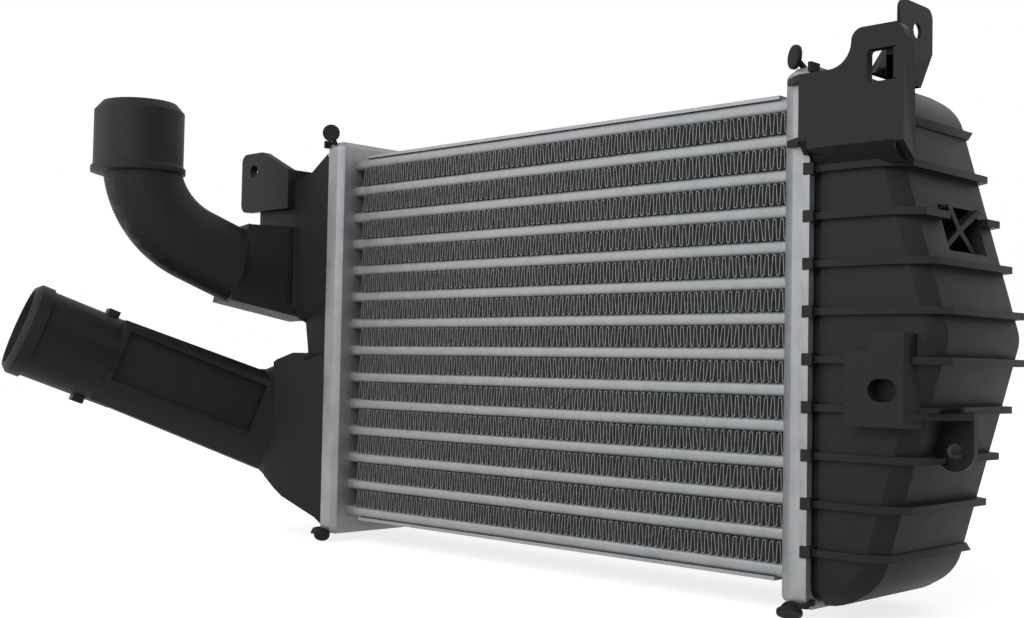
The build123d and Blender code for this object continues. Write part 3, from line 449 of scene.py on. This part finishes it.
def first_tube():
    """The first flat tube's outer skin: a box with open ends and rounded noses."""
    low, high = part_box("tube_01")
    deselect()
    bpy.ops.mesh.primitive_cube_add(size=1, location=(0, 0, 0))
    tube = bpy.context.object
    tube.name = "flat_tube_01"
    tube.scale = [b - a for a, b in zip(low, high)]
    tube.location = [(a + b) / 2 for a, b in zip(low, high)]
    settle(tube)
    bpy.ops.object.mode_set(mode="EDIT")
    bpy.ops.mesh.select_mode(type="FACE")
    mesh = bmesh.from_edit_mesh(tube.data)
    for face in mesh.faces:
        face.select = abs(face.normal.x) > END_FACING
    bmesh.update_edit_mesh(tube.data)
    bpy.ops.mesh.delete(type="FACE")
    bpy.ops.mesh.select_mode(type="EDGE")
    mesh = bmesh.from_edit_mesh(tube.data)
    for edge in mesh.edges:
        start, end = (v.co for v in edge.verts)
        edge.select = abs(start.x - end.x) > high[0] - low[0] - MM
    bmesh.update_edit_mesh(tube.data)
    bpy.ops.mesh.bevel(offset=TUBE_NOSE_RADIUS * MM, segments=TUBE_NOSE_STEPS)
    bpy.ops.object.mode_set(mode="OBJECT")
    return tube


def make_tubes():
    """Fourteen flat tubes, each a copy of the first with its own wall."""
    first = first_tube()
    tubes = [first] + [copy_of(first, f"flat_tube_{number:02d}") for number in range(2, TUBES + 1)]
    for number, tube in enumerate(tubes, start=1):
        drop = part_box(f"tube_{number:02d}")[0][2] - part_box("tube_01")[0][2]
        tube.data.transform(Matrix.Translation((0, 0, drop)))
        wall = tube.modifiers.new("wall", "SOLIDIFY")
        wall.thickness = TUBE_WALL * MM
        apply_modifiers(tube)
        bpy.ops.object.shade_smooth_by_angle(angle=SEAM_ANGLE)
        finish_piece(tube, tube_metal, f"tube_{number:02d}")


# Right tank: its end stands out past the plain moulding, and its rib ends a little more. The slotted
# boss in front and the lug at the side keep their place.
RIGHT_TANK_EDGE = 0.5
TANK_SWELL_START = 178.0
TANK_SWELL = 2.2
TANK_PEAK_X = 213.6
TANK_SLOPE = 0.282
RIB_TIP_PAST_WALL = 0.8
RIB_TIP_SWELL = 2.0
RIB_LAST_Z = 104.0
BOSS_BACK_Y = -6.8
LUG_LOW, LUG_HIGH = -62.0, -28.0
LUG_FRONT, LUG_BACK = 8.0, 32.0


def tank_swell(place):
    """How far a point of the right tank stands out past the plain moulding, in millimetres."""
    on_lug = LUG_LOW < place.z < LUG_HIGH and LUG_FRONT < place.y < LUG_BACK
    if place.y < BOSS_BACK_Y or on_lug:
        return 0.0
    wall = TANK_PEAK_X - TANK_SLOPE * abs(place.z)
    share = max(0.0, min(1.0, (place.x - TANK_SWELL_START) / (wall - TANK_SWELL_START)))
    on_rib_tip = place.x > wall + RIB_TIP_PAST_WALL and abs(place.z) < RIB_LAST_Z
    return share * TANK_SWELL + (RIB_TIP_SWELL if on_rib_tip else 0.0)


def make_right_tank():
    """Right tank with its end a little fuller and longer rib ends."""
    tank = merged_copy("right_tank", "right_end_tank")
    for vertex in tank.data.vertices:
        vertex.co.x += tank_swell(in_core(vertex.co)) * MM
    round_edges(tank, RIGHT_TANK_EDGE)
    finish_piece(tank, black_nylon, "right_tank")


# Bracket: places on the plain moulding, and how far each form moves or how much it is rounded
BRACKET_EDGE = 0.6
PLATE_STEP_X = 181.0
PLATE_SHOULDER_Z = 107.0
PLATE_STEP_ROUND = 10.0
PLATE_STEP_STEPS = 8
PLATE_BACK_Y = -11.5
PLATE_FRONT_Y = -16.0
PLATE_RIGHT_X = 206.0
PLATE_WALL_X = 201.0
PLATE_WALL_Y = -5.5
PLATE_RIGHT_IN = 2.0
PLATE_RIGHT_ROUND = 3.6
PLATE_RIGHT_STEPS = 5
PLATE_RIGHT_LENGTH = 20.0
PLATE_FOOT_Z = 77.0
PLATE_FOOT_Y = -15.5
PLATE_FOOT_UP = 2.4
LEDGE_DOWN = 3.0
HOOK_TIP_X = 153.0
HOOK_LONGER = 3.4
STRAP_LOW, STRAP_HIGH = 110.2, 114.8
STRAP_LEFT_X = 190.0
STRAP_FRONT_Y = -10.5
STRAP_SHEAR = 0.55
TAB_LEFT_X = 171.5
TAB_THINNER = 1.9
NEAR = 0.2


def bracket_place(x, y, z):
    """Where a point of the plain bracket goes, both in the core's millimetres."""
    if STRAP_LOW < z < STRAP_HIGH and x > STRAP_LEFT_X and y > STRAP_FRONT_Y:
        x -= STRAP_SHEAR * (y - PLATE_BACK_Y)
    elif x > PLATE_WALL_X and y < PLATE_WALL_Y:
        x -= PLATE_RIGHT_IN
    elif x < HOOK_TIP_X:
        x -= HOOK_LONGER
    elif abs(x - TAB_LEFT_X) < NEAR and z > STRAP_HIGH:
        x += TAB_THINNER
    if z < PLATE_FOOT_Z:
        z += PLATE_FOOT_UP if y < PLATE_FOOT_Y else -LEDGE_DOWN
    return core(x, y, z)


def on_step_corner(a, b):
    """The edge lies in the plate's hollow corner."""
    return all(abs(p.x - PLATE_STEP_X) < NEAR and abs(p.z - PLATE_SHOULDER_Z) < NEAR for p in (a, b))


def on_right_corner(a, b):
    """The edge is the long upright one between the plate's front and its right wall."""
    x = PLATE_RIGHT_X - PLATE_RIGHT_IN
    upright = all(abs(p.x - x) < NEAR and abs(p.y - PLATE_FRONT_Y) < NEAR for p in (a, b))
    return upright and abs(a.z - b.z) > PLATE_RIGHT_LENGTH


def make_bracket():
    """Bracket with its strap tucked in behind the plate, a rounded right wall and longer hooks."""
    bracket = merged_copy("mounting_bracket", "hook_bracket")
    for vertex in bracket.data.vertices:
        vertex.co = bracket_place(*in_core(vertex.co))
    bevel_edges(bracket, on_step_corner, PLATE_STEP_ROUND, PLATE_STEP_STEPS)
    bevel_edges(bracket, on_right_corner, PLATE_RIGHT_ROUND, PLATE_RIGHT_STEPS)
    round_edges(bracket, BRACKET_EDGE)
    finish_piece(bracket, black_nylon, "mounting_bracket")


# Elbow: its bend starts under the spigot and turns towards the port, whose face cuts it off
ELBOW_EDGE = 0.4
SPIGOT_FOOT = (-230.4, -90.8, 92.1)
BEND_AZIMUTH = math.radians(19.6)
BEND_SHIFT = 3.2
BEND_LENGTH = 52.0
BEND_START = 6.9
BEND_TURN = math.radians(65.7)
BEND_RADIUS = 21.45
BEND_RUN = 34.0
BEND_SIDES = 56
BEND_STEPS = 26
PORT_PLACE = (-211.4, -37.5, 41.3)
PORT_ELEVATION = math.radians(12.0)


def bend_skin():
    """The bend's smooth round skin: a circle spun through the turn and drawn out to the port."""
    upwards = Vector((0, 0, 1))
    inwards = Vector((math.sin(BEND_AZIMUTH), math.cos(BEND_AZIMUTH), 0))
    start = core(*SPIGOT_FOOT) + (Vector((BEND_SHIFT, 0, 0)) + upwards * BEND_START) * MM
    centre = start + inwards * BEND_LENGTH * MM
    heading = inwards * math.sin(BEND_TURN) - upwards * math.cos(BEND_TURN)
    outwards = upwards * math.sin(PORT_ELEVATION) - inwards * math.cos(PORT_ELEVATION)
    deselect()
    bpy.ops.mesh.primitive_circle_add(radius=BEND_RADIUS * MM, vertices=BEND_SIDES, location=start)
    skin = bpy.context.object
    skin.name = "bend_skin"
    settle(skin)
    bpy.ops.object.mode_set(mode="EDIT")
    bpy.ops.mesh.select_all(action="SELECT")
    bpy.ops.mesh.spin(steps=BEND_STEPS, angle=-BEND_TURN, center=centre, axis=inwards.cross(upwards))
    bpy.ops.mesh.extrude_region_move(TRANSFORM_OT_translate={"value": heading * BEND_RUN * MM})
    bpy.ops.mesh.select_all(action="SELECT")
    bpy.ops.mesh.bisect(plane_co=core(*PORT_PLACE), plane_no=outwards, clear_inner=True)
    bpy.ops.mesh.select_all(action="SELECT")
    bpy.ops.mesh.normals_make_consistent(inside=False)
    bpy.ops.object.mode_set(mode="OBJECT")
    bpy.ops.object.shade_smooth_by_angle(angle=SMOOTH_ANGLE)
    return skin


def make_elbow():
    """Elbow with a smooth round bend over the plain one, joined to its spigot and flange."""
    elbow = merged_copy("inlet_elbow", "inlet_bend")
    round_edges(elbow, ELBOW_EDGE)
    join([elbow, bend_skin()])
    finish_piece(elbow, turned_nylon, "inlet_elbow")


# Gaskets: pull tabs at the front corners, each with its middle, the way its face looks, its radius
# and its neck's root. The plain tabs beyond the cord's top and bottom are cut off.
PULL_TABS = {
    "left": (((-155.0, -12.5, 116.7), (0.78, -0.6, 0.1), 4.9, (-154.5, -9.5, 110.5)),
             ((-155.3, -12.0, -112.4), (0.55, -0.5, -0.65), 4.5, (-156.5, -8.5, -109.0))),
    "right": (((149.8, -8.0, 116.7), (-0.52, -0.85, 0.05), 5.2, (153.0, -4.5, 111.5)),
              ((152.4, -12.0, -113.2), (0.25, -0.45, -0.86), 5.4, (156.0, -8.0, -109.5))),
}
PULL_TAB_THICKNESS = 2.2
PULL_TAB_EDGE = 0.6
PULL_TAB_SIDES = 32
PULL_NECK_RADIUS = 1.3
PULL_NECK_SIDES = 12
GASKET_TOP = 112.6


def rod(start, end, radius_mm, sides, name):
    """A short rod between two points."""
    along = end - start
    bpy.ops.mesh.primitive_cylinder_add(vertices=sides, radius=radius_mm * MM, depth=along.length,
                                        location=(start + end) / 2,
                                        rotation=along.to_track_quat("Z", "Y").to_euler())
    piece = bpy.context.object
    piece.name = name
    settle(piece)
    return piece


def make_gaskets():
    """Gasket cords with a round rubber pull tab at each front corner."""
    for side, tabs in PULL_TABS.items():
        gasket = merged_copy(f"{side}_gasket", f"{side}_seal")
        bpy.ops.object.mode_set(mode="EDIT")
        for up in (1, -1):
            bpy.ops.mesh.select_all(action="SELECT")
            bpy.ops.mesh.bisect(plane_co=core(0, 0, up * GASKET_TOP), plane_no=(0, 0, up),
                                clear_outer=True, use_fill=True)
        bpy.ops.object.mode_set(mode="OBJECT")
        parts = [gasket]
        for middle, facing, radius, root in tabs:
            face = Vector(facing).normalized() * PULL_TAB_THICKNESS * MM / 2
            place = core(*middle)
            disc = rod(place - face, place + face, radius, PULL_TAB_SIDES, "pull_disc")
            round_edges(disc, PULL_TAB_EDGE)
            parts += [disc, rod(core(*root), place, PULL_NECK_RADIUS, PULL_NECK_SIDES, "pull_neck")]
        join(parts)
        finish_piece(gasket, rubber, f"{side}_gasket")


# Left tank: the peak that the plain moulding leaves over the lower funnel goes down to the ridge
LEFT_TANK_EDGE = 0.6
PEAK_LEFT_X, PEAK_RIGHT_X = -183.0, -170.0
PEAK_BACK_Y = -4.0
PEAK_LOW_Z, PEAK_HIGH_Z = -8.5, 0.5
RIDGE_Z = -9.5


def make_left_tank():
    """Left tank with its edges rounded over and a level ridge over the lower funnel."""
    tank = merged_copy("left_tank", "left_end_tank")
    for vertex in tank.data.vertices:
        x, y, z = in_core(vertex.co)
        if PEAK_LEFT_X < x < PEAK_RIGHT_X and y < PEAK_BACK_Y and PEAK_LOW_Z < z < PEAK_HIGH_Z:
            vertex.co = core(x, y, RIDGE_Z)
    round_edges(tank, LEFT_TANK_EDGE)
    finish_piece(tank, black_nylon, "left_tank")


# Headers: how much their edges are rounded, and how far the right one's face stands out
HEADER_EDGES = {"left": 1.4, "right": 0.7}
RIGHT_FACE_X = 149.0
RIGHT_FACE_OUT = 2.2


def make_headers():
    """The two header trays with their edges rounded over."""
    for side, edge_mm in HEADER_EDGES.items():
        tray = merged_copy(f"{side}_header", f"{side}_header_tray")
        for vertex in tray.data.vertices:
            if side == "right" and in_core(vertex.co).x < RIGHT_FACE_X:
                vertex.co.x -= RIGHT_FACE_OUT * MM
        round_edges(tray, edge_mm)
        finish_piece(tray, sheet_metal, f"{side}_header")


make_fins()
make_tubes()
make_right_tank()
make_bracket()
make_elbow()
make_gaskets()
make_left_tank()
make_headers()

# Floor, light and camera

# The floor's white glow grows from the object outwards, so that its far edge can't be seen
FLOOR_PLACE = (0.2, 0.0)
FLOOR_SIZE = 6.0
FLOOR_NEAR, FLOOR_FAR = 0.25, 0.9
GLOW_NEAR, GLOW_FAR = 0.75, 1.0

# Strength of the white room as a light, and as it is seen or mirrored
ROOM_LIGHT, ROOM_SEEN = 0.55, 1.0

# Softboxes that look at the object: place, width and height in metres, and power in watts
LIGHT_TARGET = Vector((0.22, 0.03, -0.1))
SOFTBOXES = {
    "key": ((0.6, -1.45, 0.9), (1.4, 1.4), 22.0),
    "fill": ((-0.9, -1.2, 0.3), (1.2, 1.2), 9.0),
    "rim": ((0.6, 1.2, 1.0), (1.4, 1.0), 3.0),
}


def seen_or_mirrored(tree):
    """A socket that is one where the camera or a reflection sees the surface, and else zero."""
    path = add_node(tree, "ShaderNodeLightPath")
    either = add_node(tree, "ShaderNodeMath", {"operation": "MAXIMUM"},
                      {0: path.outputs["Is Camera Ray"], 1: path.outputs["Is Glossy Ray"]})
    return either.outputs[0]


def make_floor():
    """Pale matt floor under the lowest point, with a white glow for the camera and reflections."""
    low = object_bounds()[0]
    bpy.ops.mesh.primitive_plane_add(size=FLOOR_SIZE, location=(*FLOOR_PLACE, low[2]))
    floor = bpy.context.object
    floor.name = "floor"
    material, tree, shader = new_material("pale_floor")
    shader.inputs["Base Color"].default_value = linear("A8A8A8")
    shader.inputs["Roughness"].default_value = 0.9
    shader.inputs["Specular IOR Level"].default_value = 0.1
    shader.inputs["Emission Color"].default_value = linear("FFFFFF")
    place = add_node(tree, "ShaderNodeTexCoord")
    far = add_node(tree, "ShaderNodeVectorMath", {"operation": "LENGTH"}, {0: place.outputs["Object"]})
    glow = add_node(tree, "ShaderNodeMapRange",
                    {"From Min": FLOOR_NEAR, "From Max": FLOOR_FAR, "To Min": GLOW_NEAR,
                     "To Max": GLOW_FAR},
                    {"Value": far.outputs["Value"]})
    lift = add_node(tree, "ShaderNodeMath", {"operation": "MULTIPLY"},
                    {0: seen_or_mirrored(tree), 1: glow.outputs["Result"]})
    connect(shader, {"Emission Strength": lift.outputs[0]})
    floor.data.materials.append(material)


def make_room():
    """Soft white surround."""
    world = bpy.data.worlds.new("soft_room")
    bpy.context.scene.world = world
    world.use_nodes = True
    tree = world.node_tree
    tree.nodes.clear()
    strength = add_node(tree, "ShaderNodeMapRange", {"To Min": ROOM_LIGHT, "To Max": ROOM_SEEN},
                        {"Value": seen_or_mirrored(tree)})
    light = add_node(tree, "ShaderNodeBackground", {"Color": (1, 1, 1, 1)},
                     {"Strength": strength.outputs["Result"]})
    add_node(tree, "ShaderNodeOutputWorld", links={"Surface": light.outputs["Background"]})


def make_softboxes():
    """The soft rectangular lamps."""
    for name, (place, size, watts) in SOFTBOXES.items():
        lamp = bpy.data.lights.new(name, "AREA")
        lamp.shape = "RECTANGLE"
        lamp.size, lamp.size_y = size
        lamp.energy = watts
        holder = bpy.data.objects.new(name, lamp)
        bpy.context.collection.objects.link(holder)
        holder.location = place
        aim = LIGHT_TARGET - Vector(place)
        holder.rotation_euler = aim.to_track_quat("-Z", "Y").to_euler()


# The photograph's camera: its place from the core's zero in millimetres, its turn from the +Y
# direction, its tilt and roll in degrees, and its lens on a 36 mm wide sensor
CAMERA_PLACE = (455.4, -491.0, -14.4)
CAMERA_YAW, CAMERA_PITCH, CAMERA_ROLL = 44.083, 2.382, 1.069
CAMERA_LENS = 47.37
CAMERA_SENSOR = 36.0


def make_camera():
    """The camera at the photograph's place and angle."""
    yaw, pitch, roll = (math.radians(a) for a in (CAMERA_YAW, CAMERA_PITCH, CAMERA_ROLL))
    ahead = Vector((-math.sin(yaw) * math.cos(pitch), math.cos(yaw) * math.cos(pitch), math.sin(pitch)))
    level = Vector((math.cos(yaw), math.sin(yaw), 0))
    above = level.cross(ahead)
    right = level * math.cos(roll) + above * math.sin(roll)
    up = above * math.cos(roll) - level * math.sin(roll)
    view = bpy.data.cameras.new("camera")
    view.lens = CAMERA_LENS
    view.sensor_width = CAMERA_SENSOR
    view.clip_start = 0.01
    eye = bpy.data.objects.new("camera", view)
    bpy.context.collection.objects.link(eye)
    turn = Matrix((right, up, -ahead)).transposed().to_4x4()
    eye.matrix_world = Matrix.Translation(core(*CAMERA_PLACE)) @ turn
    bpy.context.scene.camera = eye


make_floor()
make_room()
make_softboxes()
make_camera()
bpy.context.scene.view_settings.view_transform = "Standard"
